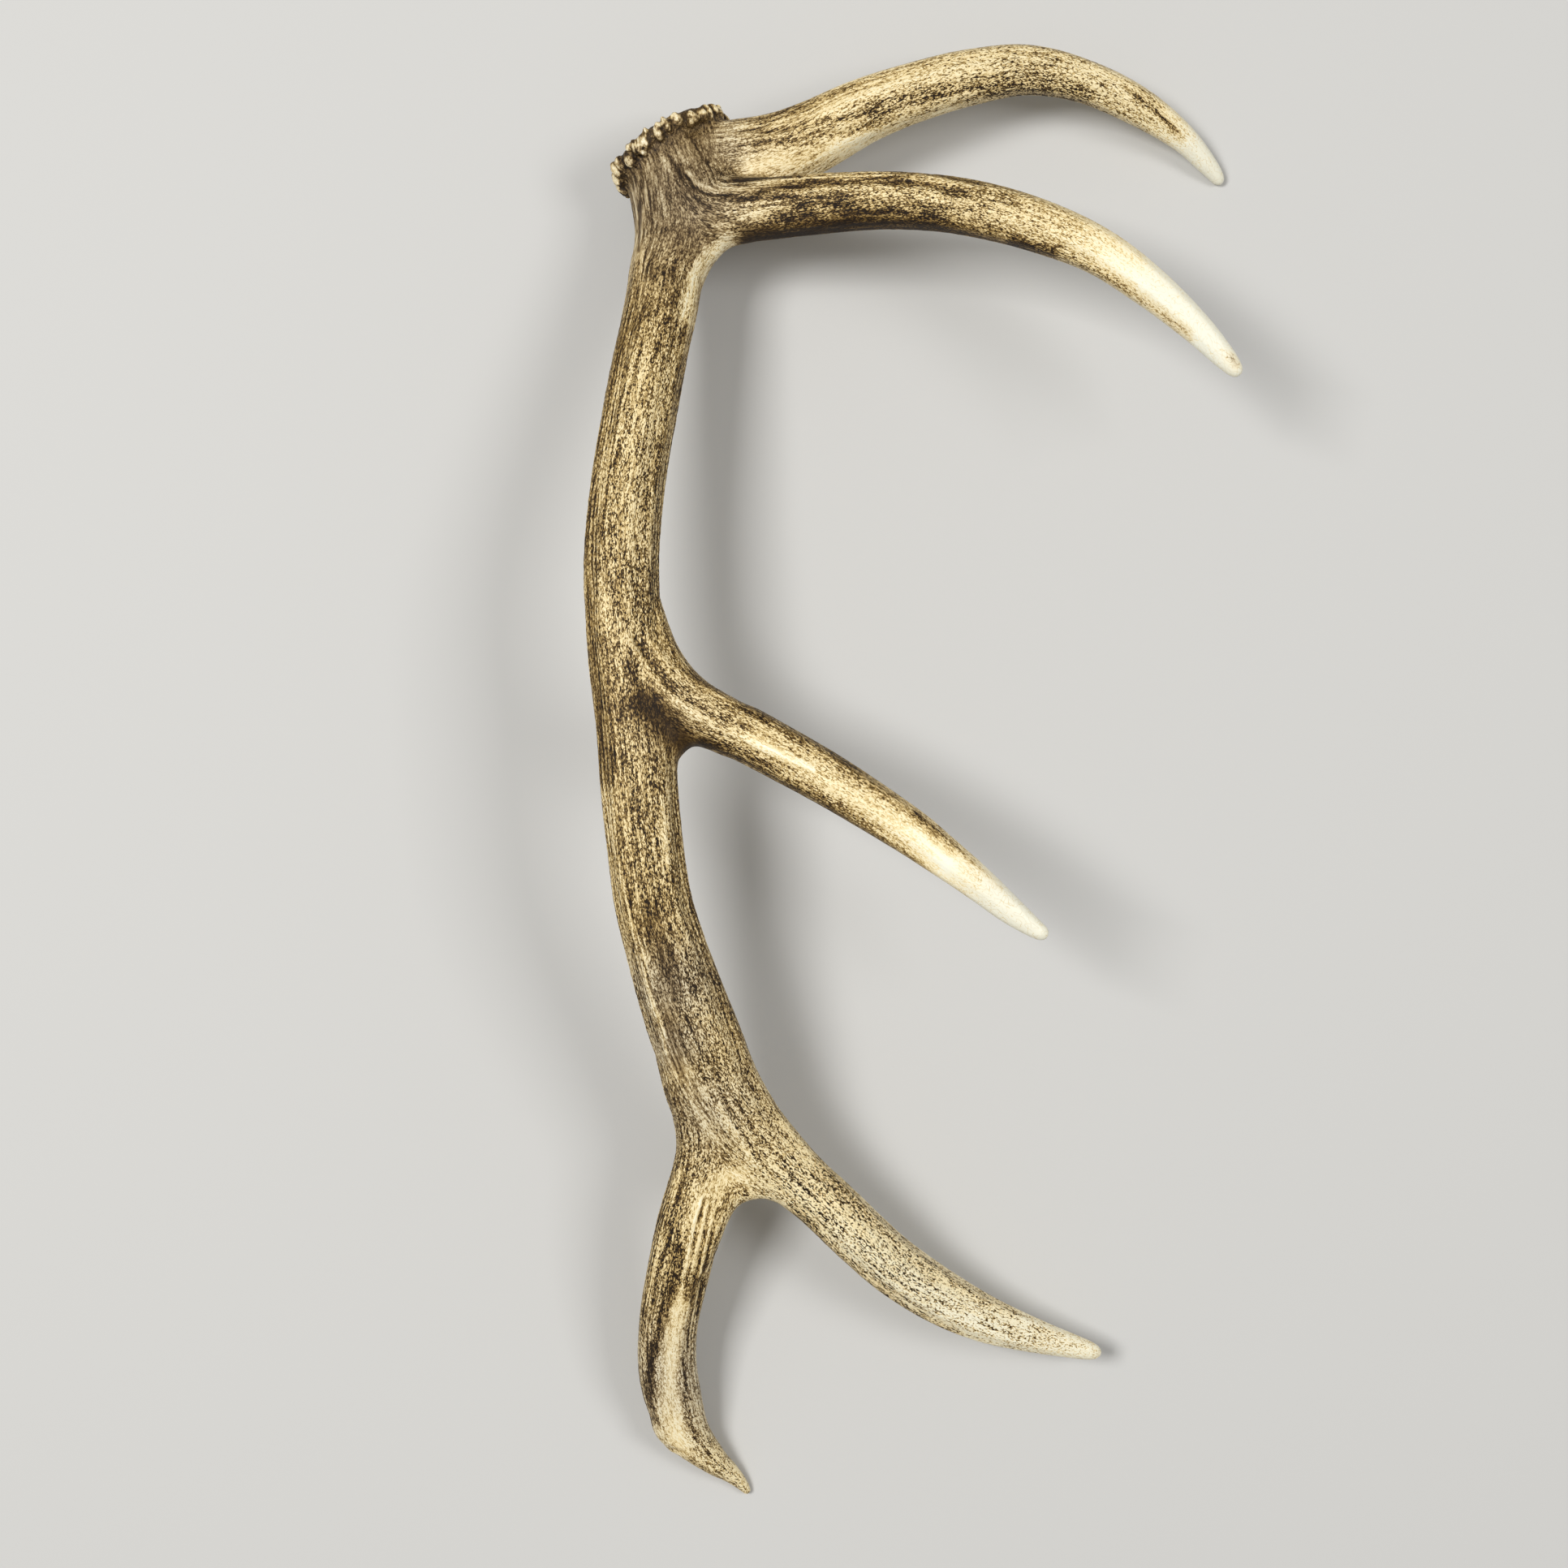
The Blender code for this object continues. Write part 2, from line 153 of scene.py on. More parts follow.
burr_side = BURR_AXIS.cross(UP).normalized()
burr_turn = Matrix((burr_side, BURR_AXIS.cross(burr_side), BURR_AXIS)).transposed().to_4x4()
pearls = []  # middle, size and turn of each
rng = random.Random(3)
for usual_size, steps, reaches, heights, growths in PEARL_RINGS:
    for i in range(PEARLS):
        angle = 2 * math.pi * (i + rng.uniform(*steps)) / PEARLS
        reach = rng.uniform(*reaches) / 2
        rim = Vector((BURR_SIZE[0] * math.cos(angle), BURR_SIZE[1] * math.sin(angle), 0)) * reach
        rim.z = rng.uniform(*heights)
        size = [length * rng.uniform(*growths) for length in usual_size]
        facing = Matrix.Rotation(angle + math.pi / 2, 4, "Z")
        pearls.append((BURR_MIDDLE + burr_turn.to_3x3() @ rim, size, burr_turn @ facing))

# --- The skin that all of it grew in ---
# Live antler is covered in one skin, so the bone has no joints: each fork is a smooth web. The
# stretches are joined by a remesh, rounded in the forks, and remeshed finely for the surface.

WEBS = [  # the bone between two branches: middle, size and heading in degrees of each ovoid
    ((-24, -206, 72.5), (50, 49, 17), 0),  # across the crown's fork
    ((-42, -230, 67), (26, 34, 20), 0),  # along the rear crown tine's inner side
    ((-60.1, 24.4, 116), (21.5, 21.5, 18), 0),  # under the trez tine
    ((-40, 337, 54), (50, 40, 26), 0),  # between the brow and bez tines
    ((-49, 303, 62), (34, 27, 22), 15),  # under the bez tine
]
CROOK_RIM = [  # the rounded edge of the crown's web, from tine to tine, drawn as a stretch is
    (-54, -280, 57, 16, 18), (-48.2, -265, 62, 17, 18), (-42.1, -249.2, 67, 18, 18),
    (-37.8, -239, 69.5, 18, 17), (-33.3, -231.6, 71, 18, 17), (-26.8, -225.8, 72, 18, 17),
    (-18.5, -223.2, 72, 18, 17), (-10, -223, 71, 18, 17), (-1, -225.5, 69, 18, 17),
    (7.7, -231, 67, 18, 18), (16, -238, 66, 18, 18),
]
HEEL = [((-62.5, -381, 17), (16, 15, 15)), ((-66, -360, 22), (25, 46, 22))]  # beside the rear spike
FORKS = [  # the middle and the reach of each hollow that is rounded
    ((-30, 345, 58), 46), ((-44, 306, 62), 44), ((-52, 34, 116), 40), ((-14, -228, 69), 46),
    ((-64, -368, 20), 34),
]
ROUNDING_FADE = 2.5  # how steeply the rounding fades out round a fork
WEB_ROUNDS = 200  # how far the skin is drawn over the hollows of a fork
COARSE_GRAIN = 1.5  # mm, the remesh that joins the stretches
FINE_GRAIN = 0.8  # mm, the remesh that carries the ribs and beads
WEB_SEGMENTS = 72
BURR_SEGMENTS = 96
PEARL_SEGMENTS = 16
FORK_SMOOTHING = 30  # rounds
SKIN_SMOOTHING = 3
FINE_SMOOTHING = 2


def add_ovoid(bm, segments, middle, size, turn=Matrix()):
    place = Matrix.Translation(Vector(middle))
    stretch = Matrix.Diagonal((*(Vector(size) / 2), 1))
    bmesh.ops.create_uvsphere(
        bm, u_segments=segments, v_segments=segments // 2, radius=1, matrix=place @ turn @ stretch
    )


def finish_with(piece, kind, **settings):
    """Adds a modifier with its settings and applies it."""
    modifier = piece.modifiers.new(kind.title(), kind)
    for key, value in settings.items():
        setattr(modifier, key, value)
    bpy.ops.object.select_all(action="DESELECT")
    bpy.context.view_layer.objects.active = piece
    bpy.ops.object.modifier_apply(modifier=modifier.name)


def vertex_places(piece):
    places = np.empty(len(piece.data.vertices) * 3)
    piece.data.vertices.foreach_get("co", places)
    return places.reshape(-1, 3)


def move_vertices(piece, places):
    piece.data.vertices.foreach_set("co", places.ravel())
    piece.data.update()


def add_from(bm, name):
    """Adds a mesh object with its faces outward."""
    bmesh.ops.recalc_face_normals(bm, faces=bm.faces)
    mesh = bpy.data.meshes.new(name)
    bm.to_mesh(mesh)
    bm.free()
    piece = bpy.data.objects.new(name, mesh)
    bpy.context.scene.collection.objects.link(piece)
    return piece


def each_dot(first, second):
    return np.einsum("ij,ij->i", first, second)


def corner_rows(mesh):
    """The four corners of each face; a triangle repeats its last."""
    starts = np.empty(len(mesh.polygons), int)
    sides = np.empty(len(mesh.polygons), int)
    verts = np.empty(len(mesh.loops), int)
    mesh.polygons.foreach_get("loop_start", starts)
    mesh.polygons.foreach_get("loop_total", sides)
    mesh.loops.foreach_get("vertex_index", verts)
    return np.stack([verts[starts + np.minimum(i, sides - 1)] for i in range(4)], 1)


def outward(places, corners):
    """The skin's normal at each vertex."""
    a, b, c, d = (places[corners[:, i]] for i in range(4))
    flat = np.cross(c - a, d - b)
    total = np.zeros_like(places)
    for i in range(4):
        for axis in range(3):
            total[:, axis] += np.bincount(corners[:, i], flat[:, axis], len(places))
    return total / np.linalg.norm(total, axis=1)[:, None]


def near_fork(points, fade):
    """1 in the middle of a fork's web, fading to 0 away from it."""
    share = np.max([1 - np.linalg.norm(points - place, axis=1) / reach for place, reach in FORKS], axis=0)
    return np.clip(share * fade, 0, 1)


def draw_over_hollows(piece, share, rounds):
    """Moves the skin out where it is hollow, as a film would span it, most where share is 1."""
    places = vertex_places(piece)
    corners = corner_rows(piece.data)
    ends = np.empty(len(piece.data.edges) * 2, int)
    piece.data.edges.foreach_get("vertices", ends)
    ends = ends.reshape(-1, 2)
    ends = ends[(share[ends] > 0).all(axis=1)]
    here, there = np.vstack([ends, ends[:, ::-1]]).T
    linked = np.bincount(here, minlength=len(places))
    share = np.where(linked > 2, share, 0)
    for _ in range(rounds):
        normals = outward(places, corners)
        around = [np.bincount(here, places[there, axis], len(places)) for axis in range(3)]
        pull = np.stack(around, 1) / np.maximum(linked, 1)[:, None] - places
        places += (share * np.clip(each_dot(pull, normals), 0, None))[:, None] * normals
    move_vertices(piece, places)


grown = bmesh.new()
for name in STRETCHES:
    add_stretch(grown, LINES[name], *FLUTES[name])
add_stretch(grown, middle_line(CROOK_RIM))
for middle, size, heading in WEBS:
    add_ovoid(grown, WEB_SEGMENTS, middle, size, Matrix.Rotation(math.radians(heading), 4, "Z"))
for middle, size in HEEL:
    add_ovoid(grown, WEB_SEGMENTS, middle, size)
add_ovoid(grown, BURR_SEGMENTS, BURR_MIDDLE, BURR_SIZE, burr_turn)
antler = add_from(grown, "antler")
finish_with(antler, "REMESH", mode="VOXEL", voxel_size=COARSE_GRAIN)

strength = np.round(near_fork(vertex_places(antler), ROUNDING_FADE), 1)
draw_over_hollows(antler, strength, WEB_ROUNDS)
rounding = antler.vertex_groups.new(name="forks")
for amount in np.unique(strength[strength > 0]):
    rounding.add(np.flatnonzero(strength == amount).tolist(), float(amount), "REPLACE")
finish_with(antler, "SMOOTH", vertex_group="forks", iterations=FORK_SMOOTHING)
finish_with(antler, "SMOOTH", iterations=SKIN_SMOOTHING)

grown = bmesh.new()
for middle, size, turn in pearls:
    add_ovoid(grown, PEARL_SEGMENTS, middle, size, turn)
grown.from_mesh(antler.data)
bpy.data.objects.remove(antler)
antler = add_from(grown, "antler")
finish_with(antler, "REMESH", mode="VOXEL", voxel_size=FINE_GRAIN)
finish_with(antler, "SMOOTH", iterations=FINE_SMOOTHING)

# --- The antler's ribs, beads and marks ---
# Blood vessels left long grooves along the bone, with beads between them. The stag rubbed soil and
# sap into the grooves and polished the ridges and tips, so the relief and the stain go together.

# How many furrows go round each stretch, and where they start on its right and left side, from 0 at
# its middle to 1 at its edge.
FURROWS = {
    "beam": (44, 0.15, 0.65), "rear_crown": (34, 0.3, 0.3), "brow": (36, 0.9, 0.1), "bez": (34, 0.9, 0.2),
    "trez": (32, 0.6, 0.4),
}
# The swells of noise that each form follows, in mm across, up and along a stretch.
BEADS = (2.6, 2.6, 3.6)
SWELLS = (24, 24, 48)
WANDERS = (14, 14, 60)
QUICK_WANDERS = (5, 5, 20)
FURROW_BREAKS = (5, 5, 28)
GROOVE_RUNS = (4.2, 4.2, 60)
GROOVE_TURNS = (2.6, 2.6, 22)
BEAD_HEIGHT = 0.18  # mm
FURROW_DEPTH = 0.6  # mm
SWELL_HEIGHT = 0.5  # mm
FURROW_WIDTH = 0.6  # as share of the way from one furrow to the next
GROOVE_WIDTH = 0.14  # in the noise that the single grooves follow
GROOVE_SHARE = 0.45  # of a furrow's depth
SMOOTH_WEB = 0.8  # how much shallower the furrows are in the middle of a fork
WEB_FADE = 2  # how steeply they come back round it
ROOT_FADE = 40  # mm over which a tine's own grain takes over from the beam's
ROOT_HOLD = 0.6  # how strongly the beam's grain holds there
PAST_END = 0.02  # how much farther out a point counts for each mm that it lies past a stretch's end
BLEND = 8  # how sharply one stretch's grain gives way to the next one's
LEAST_SHARE = 0.02  # of the blend, under which a stretch's grain is left out
BATCH = 20000  # points at a time, for the memory's sake
LATTICE = np.random.default_rng(11).permutation(256)
SLOPES = np.random.default_rng(12).normal(size=(256, 3))
SLOPES /= np.linalg.norm(SLOPES, axis=1)[:, None]


def grain(points):
    """Smooth noise, about -1 to 1, with one swell to each unit; a number added gives another noise."""
    cell = np.floor(points).astype(int)
    part = points - cell
    fade = part**3 * (part * (part * 6 - 15) + 10)
    total = np.zeros(len(points))
    for dx in (0, 1):
        for dy in (0, 1):
            for dz in (0, 1):
                mixed = LATTICE[(cell[:, 0] + dx) & 255] + cell[:, 1] + dy
                mixed = LATTICE[(LATTICE[mixed & 255] + cell[:, 2] + dz) & 255]
                weight = np.prod(np.where((dx, dy, dz), fade, 1 - fade), axis=1)
                total += weight * each_dot(SLOPES[mixed], part - (dx, dy, dz))
    return total * 1.6


def unbend(name, points):
    """Where points lie in a stretch, were it straight: across, up and along it, and how far out."""
    line_places, headings, sides, lifts, sizes, run = LINES[name]
    near = np.empty(len(points), int)
    for start in range(0, len(points), BATCH):
        batch = points[start : start + BATCH]
        near[start : start + BATCH] = np.argmin(
            (line_places**2).sum(1) - 2 * batch @ line_places.T, axis=1
        )
    ahead = each_dot(points - line_places[near], headings[near])
    other = np.clip(near + np.where(ahead > 0, 1, -1), 0, len(line_places) - 1)
    beyond = each_dot(points - line_places[other], headings[other])
    apart = np.where(np.abs(ahead - beyond) < 1e-6, 1, ahead - beyond)
    share = np.clip(ahead / apart, 0, 1)[:, None]

    def between(rows):
        return rows[near] + share * (rows[other] - rows[near])

    along = between(run[:, None])[:, 0] + np.where(other == near, ahead, 0)
    gap = points - between(line_places)
    across = each_dot(gap, between(sides))
    up = each_dot(gap, between(lifts))
    size = between(sizes)
    out = np.hypot(across / size[:, 0] * 2, up / size[:, 1] * 2)
    out += PAST_END * np.abs(np.where(other == near, ahead, 0))
    return np.stack([across, up, along], 1), out


# The bone's finish along each stretch. By share of its length: how deep the ribs are, how dark the
# stain is (from 0, bare white bone, to 1, nearly black), how speckled and how finely lined it is.
FINISHES = {
    "beam": [
        (0.00, 0.55, 0.61, 0.30, 0.75), (0.07, 0.45, 0.61, 0.40, 0.75), (0.13, 0.80, 0.56, 0.70, 0.80),
        (0.20, 1.00, 0.45, 1.00, 0.60), (0.32, 1.00, 0.52, 1.00, 0.60), (0.40, 0.80, 0.54, 0.90, 0.60),
        (0.52, 0.90, 0.51, 0.90, 0.70), (0.62, 0.80, 0.51, 0.90, 0.60), (0.70, 0.60, 0.44, 1.00, 0.50),
        (0.80, 0.40, 0.16, 1.50, 0.30), (0.92, 0.20, 0.13, 1.30, 0.20), (1.00, 0.05, 0.11, 0.80, 0.20),
    ],
    "rear_crown": [
        (0.00, 0.80, 0.51, 0.90, 0.60), (0.47, 0.80, 0.48, 1.00, 0.90), (0.73, 0.60, 0.43, 0.90, 0.80),
        (0.87, 0.30, 0.36, 0.90, 0.40), (1.00, 0.10, 0.24, 0.90, 0.30),
    ],
    "brow": [
        (0.00, 0.60, 0.56, 0.40, 0.70), (0.12, 0.60, 0.44, 0.60, 0.90), (0.30, 0.50, 0.29, 0.85, 0.60),
        (0.60, 0.30, 0.42, 1.10, 0.50), (0.80, 0.15, 0.30, 0.90, 0.30), (0.91, 0.05, 0.06, 0.40, 0.20),
        (1.00, 0.05, 0.04, 0.10, 0.10),
    ],
    "bez": [
        (0.00, 0.40, 0.62, 0.30, 0.80), (0.14, 0.50, 0.63, 0.50, 0.90), (0.30, 0.60, 0.59, 0.80, 0.80),
        (0.46, 0.50, 0.57, 0.90, 0.60), (0.58, 0.30, 0.47, 0.90, 0.40), (0.71, 0.15, 0.27, 0.80, 0.30),
        (0.82, 0.05, 0.10, 0.35, 0.20), (1.00, 0.05, 0.05, 0.10, 0.10),
    ],
    "trez": [
        (0.00, 0.80, 0.58, 0.80, 0.80), (0.30, 0.50, 0.53, 0.90, 0.60), (0.55, 0.25, 0.43, 0.90, 0.50),
        (0.75, 0.08, 0.20, 0.60, 0.20), (0.87, 0.05, 0.06, 0.20, 0.10), (1.00, 0.05, 0.04, 0.10, 0.10),
    ],
}


def finish_along(name, unbent):
    """Rib depth, stain, speckle and lines at each straightened point of a stretch."""
    table = np.array(FINISHES[name])
    reached = unbent[:, 2] / LINES[name][5][-1]
    return [np.interp(reached, table[:, 0], table[:, i]) for i in range(1, 5)]


def straightened(points):
    """For each stretch, the points in its straight frame, and its share of each of them."""
    frames = {}
    for name in STRETCHES:
        unbent, out = unbend(name, points)
        if name != "beam":
            out = out + ROOT_HOLD * np.clip(1 - unbent[:, 2] / ROOT_FADE, 0, 1)
        frames[name] = [unbent, out]
    least = np.min([out for _, out in frames.values()], axis=0)
    weights = {name: np.exp(-BLEND * (out - least)) for name, (_, out) in frames.items()}
    total = sum(weights.values())
    return {name: (frames[name][0], weights[name] / total) for name in STRETCHES}


def ribs(name, unbent):
    """Grooves along a stretch, 0 to 1 at their bottoms, and how far a point is round its side.

    Furrows run side by side on its two sides, and single grooves wander along its top.
    """
    sizes, run = LINES[name][4:]
    width, depth = (np.interp(unbent[:, 2], run, sizes[:, i]) for i in (0, 1))
    across, up = unbent[:, 0] / width, unbent[:, 1] / depth
    count, start, other_start = FURROWS[name]
    flank = np.abs(across) / np.hypot(across, up) - np.where(across > 0, start, other_start)
    flank = np.clip(flank * 3, 0, 1)
    wander = 0.9 * grain(unbent / WANDERS + 7) + 0.3 * grain(unbent / QUICK_WANDERS + 2)
    turn = count * np.arctan2(up, across) / (2 * math.pi) + wander
    furrow = np.exp(-((np.sin(math.pi * turn) / FURROW_WIDTH) ** 2))
    furrow *= np.clip(0.75 + 1.1 * grain(unbent / FURROW_BREAKS + 13), 0, 1)
    bent = unbent + 2 * np.stack([wander, -wander, wander * 0], 1)
    lines = grain(bent / GROOVE_RUNS) + 0.5 * grain(bent / GROOVE_TURNS + 3)
    groove = np.exp(-((lines / GROOVE_WIDTH) ** 2))
    return furrow * (0.2 + 0.8 * flank) + GROOVE_SHARE * groove * (1 - flank), flank


def grow_relief(points):
    """Height in millimetres at each point, mixed from all stretches."""
    height = np.zeros(len(points))
    furrowed = 1 - SMOOTH_WEB * near_fork(points, WEB_FADE)
    for name, (unbent, weight) in straightened(points).items():
        here = weight > LEAST_SHARE
        groove, _ = ribs(name, unbent[here])
        depth = finish_along(name, unbent[here])[0]
        groove *= furrowed[here]
        beads = grain(unbent[here] / BEADS + 5)
        swell = grain(unbent[here] / SWELLS + 9)
        rise = BEAD_HEIGHT * beads - FURROW_DEPTH * groove + SWELL_HEIGHT * swell
        height[here] += weight[here] * depth * rise
    return height


# Marks on the side that shows: how much darker, how much higher in mm and how much more speckled each
# is, its reach in mm, and the line that it runs along, from above in mm.
MARKS = [
    # neck: smooth and grey-brown between the burr and the bez tine, with a hollow towards the brow tine
    (0.05, -0.3, 0, 11, [(-54, 325), (-42, 309)]),
    (0.26, 0, 0, 4, [(-98, 342), (-91, 336)]),
    # thin raised lines that curve from the burr into the bez tine's upper edge, and grooves between them
    (-0.22, 0.5, -0.2, 1.6, [(-54, 342), (-50, 335), (-42, 331), (-32, 329), (-16, 329), (0, 329)]),
    (0.30, -0.4, 0, 0.9, [(-58, 346), (-54, 338), (-50, 332), (-45, 328), (-39, 326), (-30, 326)]),
    (-0.16, 0.2, 0, 0.9, [(-61, 352), (-57, 344), (-53, 339)]),
    (-0.16, 0.2, 0, 0.9, [(-69, 353), (-66, 347), (-63, 341), (-60, 334)]),
    (-0.20, 0.2, 0, 0.9, [(-61, 358), (-57, 351), (-54, 347)]),
    (0.20, -0.3, 0, 0.9, [(-64, 351), (-60, 344), (-56, 337)]),
    (0.22, -0.3, 0, 0.9, [(-54, 365), (-50, 359), (-46, 352), (-42, 346), (-34, 340)]),
    (0.26, -0.4, 0, 1.2, [(-33, 335), (-24, 335), (-5, 336), (9, 335)]),
    (-0.22, 0.3, -0.3, 1.2, [(-85, 334), (-83, 322), (-83, 309), (-83, 292)]),
    (-0.20, 0.3, -0.3, 1.0, [(-78, 333), (-77, 326), (-79, 320), (-80, 307), (-80, 292)]),
    (0.22, -0.3, -0.3, 0.9, [(-81, 327), (-81, 311), (-81, 297)]),
    (0.00, -0.8, 0, 10, [(-45, 363), (-32, 355), (-28, 346)]),
    # bez tine: grooves along its upper edge, dark mottling, a dark lower side, a pale outer half
    (0.24, -0.3, 0, 1.6, [(-27, 324), (-16, 323), (-5, 323), (20, 322), (42, 322)]),
    (-0.16, 0, 0, 1.4, [(-39, 310), (-27, 311), (-15, 316)]),
    (-0.18, 0, 0, 4, [(-30, 316), (-5, 315)]),
    (0.26, 0, 0.2, 2.6, [(8, 317), (15, 316)]),
    (0.26, 0, 0.2, 2.6, [(28, 318), (38, 316)]),
    (0.26, 0, 0.2, 2.6, [(53, 314), (63, 312)]),
    (0.24, 0, 0.2, 2.4, [(77, 311), (87, 308)]),
    (0.22, 0, 0.2, 2.2, [(-5, 314), (2, 312)]),
    (0.34, 0, -0.35, 5.0, [(-20, 303), (6, 305), (36, 308), (66, 306), (96, 301), (124, 292), (143, 284)]),
    (0.26, -0.6, 0, 1.7, [(-27, 336), (-3, 337), (20, 339), (51, 338), (81, 334), (107, 326)]),
    (-0.20, 0.3, 0, 1.7, [(-18, 332), (11, 335), (46, 335), (77, 331), (103, 323)]),
    (0.26, -0.6, 0, 1.7, [(-16, 327), (11, 330), (46, 330), (77, 326), (98, 320)]),
    (-0.16, 0, 0, 3.5, [(-10, 322), (20, 325), (50, 325), (76, 321), (100, 314)]),
    (0.38, 0, 0.3, 3.2, [(125, 294), (150, 286), (183, 267), (205, 250), (217, 241)]),
    (-0.10, 0, -0.2, 9.7, [(124, 303), (155, 291), (180, 277), (206, 257), (228, 235)]),
    (0.40, 0, 0, 2.6, [(239, 229), (242, 225)]),
    # beam: a pale smooth strip with a dark outline in the crook under the bez tine
    (-0.44, 0.2, 0.1, 5.0, [(-33, 302), (-43, 293), (-50, 281), (-53, 270), (-55, 258)]),
    (0.24, -0.4, 0, 1.2, [(-33, 298), (-40, 291), (-44, 281), (-47, 266), (-50, 251), (-54, 235)]),
    (0.22, -0.4, 0, 1.3, [(-48, 296), (-53, 287), (-57, 276), (-60, 265)]),
    # beam: a ridged outer edge, an inner edge darkened with painted shade where it turns from the light,
    # and a paler middle
    (0.10, 0, -0.2, 5, [(-88, 253), (-98, 207), (-104, 161), (-106, 116), (-104, 77), (-99, 37), (-96, 3)]),
    # painted shade along the beam's inner edge
    (0.12, 0, 0, 4, [(-55, 232), (-62, 190), (-66, 144), (-67, 99)]),
    (-0.06, 0, 0, 10.6, [(-74, 233), (-82, 187), (-86, 142), (-87, 98)]),
    # trez tine: two pale ridges that curve out of the beam, above a smooth hollow that is darkened with
    # painted shade
    (-0.28, 0.8, -0.2, 2.4, [(-84, 78), (-74, 65), (-64, 48), (-46, 36), (-26, 26), (15, 8)]),
    # painted shade in the hollow of the trez tine's fork
    (0.36, -1.2, -0.5, 10, [(-74, 43), (-65, 34), (-57, 26), (-51, 19)]),
    (0.28, 0, 0.2, 2.4, [(70, -16), (89, -31), (101, -41)]),
    (0.14, 0, 0.1, 2.0, [(104, -44), (114, -54)]),
    (0.14, 0, 0.1, 1.6, [(84, -53), (97, -61)]),
    (-0.22, 0.8, -0.2, 2.0, [(-74, 80), (-62, 63), (-45, 53), (-27, 43)]),
    (0.24, -0.8, 0, 1.5, [(-79, 77), (-69, 61), (-56, 47), (-40, 39)]),
    (0.24, 0, 0, 3.4, [(-50, 59), (-29, 45), (-3, 33), (23, 18), (49, 0), (70, -17), (87, -34)]),
    (0.30, 0, 0, 3.4, [(-42, 22), (-20, 13), (6, -2), (32, -17), (58, -34), (76, -47)]),
    # a paler band along the trez tine's middle: partly paler bone, partly a painted highlight
    (-0.20, 0, -0.4, 6.5, [(-16, 26), (10, 9), (40, -8), (66, -25), (86, -42)]),
    # lower beam: pale strips, a smooth grey-brown patch and a raised line beside it
    (-0.12, 0, 0, 3.5, [(-95, -6), (-92, -32), (-86, -58)]),
    (-0.20, 0, 0, 2.8, [(-67, -8), (-63, -28), (-63, -47)]),
    (0.13, -0.3, -0.35, 6.5, [(-70, -73), (-64, -90), (-61, -106), (-61, -126), (-58, -154)]),
    (-0.28, 0.4, 0, 1.6, [(-76, -92), (-74, -106), (-70, -121), (-66, -134), (-64, -146)]),
    (0.08, 0, 0, 5.3, [(-51, -59), (-42, -86), (-34, -112), (-20, -149)]),
    # crown: a calm middle, a pale ridge down into the crook, and a pale smooth crook
    (-0.10, 0, -0.25, 8, [(-53, -157), (-47, -175), (-39, -195)]),
    (-0.20, 0.6, -0.2, 2.4, [(-35, -177), (-29, -189), (-22, -201), (-15, -211)]),
    (0.26, -0.5, 0, 1.4, [(-33, -172), (-24, -188), (-17, -201), (-9, -213), (1, -228)]),
    (-0.18, 0, -0.4, 5.5, [(-50, -241), (-45, -228), (-36, -219), (-24, -216)]),
    (0.12, -0.2, 0, 0.9, [(-49, -245), (-44, -233), (-35, -225), (-23, -222), (-12, -227)]),
    (0.10, -0.2, 0, 0.9, [(-46, -246), (-41, -235), (-32, -229), (-22, -226), (-10, -232)]),
    (0.10, 0, 0, 4.4, [(-63, -171), (-61, -196), (-64, -220), (-68, -242)]),
    # front crown tine: pale and pitted, with a dark lower edge that is partly stain and partly painted
    # shade
    (0.04, 0, 0.9, 9.5, [(4, -220), (29, -245), (56, -270), (80, -287)]),
    (-0.05, 0, 0.2, 8.8, [(-3, -217), (29, -250), (61, -277), (98, -300), (136, -317)]),
    # the dark lower edge: partly stain, partly painted shade
    (0.48, 0, 0.3, 4.0, [(6, -238), (27, -262), (50, -283), (73, -300), (98, -314)]),
    (0.24, 0, 0.2, 4.4, [(20, -214), (47, -242), (75, -267), (103, -287), (132, -301)]),
    # rear crown tine: a nearly black streak, ridges on its right, a worn grey flat, and its crease
    (0.30, -0.5, 0, 1.1, [(-44, -230), (-49, -250), (-53, -269), (-55, -289)]),
    (0.30, -0.5, 0, 1.1, [(-41, -232), (-45, -253), (-49, -272), (-52, -291)]),
    (0.30, -0.5, 0, 1.1, [(-37, -235), (-41, -256), (-46, -277), (-49, -300)]),
    (-0.22, 0.4, -0.3, 1.1, [(-46, -230), (-51, -250), (-54, -269)]),
    (-0.22, 0.4, -0.3, 1.1, [(-42, -231), (-47, -251), (-51, -271)]),
    (-0.22, 0.4, -0.3, 1.1, [(-38, -234), (-43, -254), (-47, -274)]),
    (0.20, 0, 0.3, 5.5, [(-62, -241), (-63, -262), (-66, -284)]),
    (-0.18, 0, -0.2, 4.2, [(-46, -234), (-51, -256), (-55, -272)]),
    (0.04, 0, 0.4, 6, [(-46, -379), (-33, -395), (-26, -408)]),
    (0.08, 0, 0, 5.3, [(-71, -238), (-76, -271), (-80, -310), (-79, -345)]),
    (0.42, -0.4, 0, 3.0, [(-57, -259), (-62, -279), (-69, -303), (-75, -329), (-77, -349), (-75, -365)]),
    (-0.22, 0, -0.6, 6.8, [(-58, -286), (-64, -312), (-65, -340), (-64, -362), (-58, -380)]),
    (0.28, -0.2, 0.2, 1.8, [(-53, -310), (-56, -326), (-57, -345), (-55, -360), (-51, -376)]),
    (0.25, -0.8, 0, 1.5, [(-66, -384), (-58, -385), (-51, -384)]),
    (0.20, 0, 0, 2.2, [(-54, -391), (-43, -400), (-31, -409)]),
    # brow tine: dark upper edge, wavy grooves, a broad pale band, dark mottling, a pale tip
    (0.34, -0.2, 0, 1.3, [(194, 398), (201, 394), (207, 391)]),
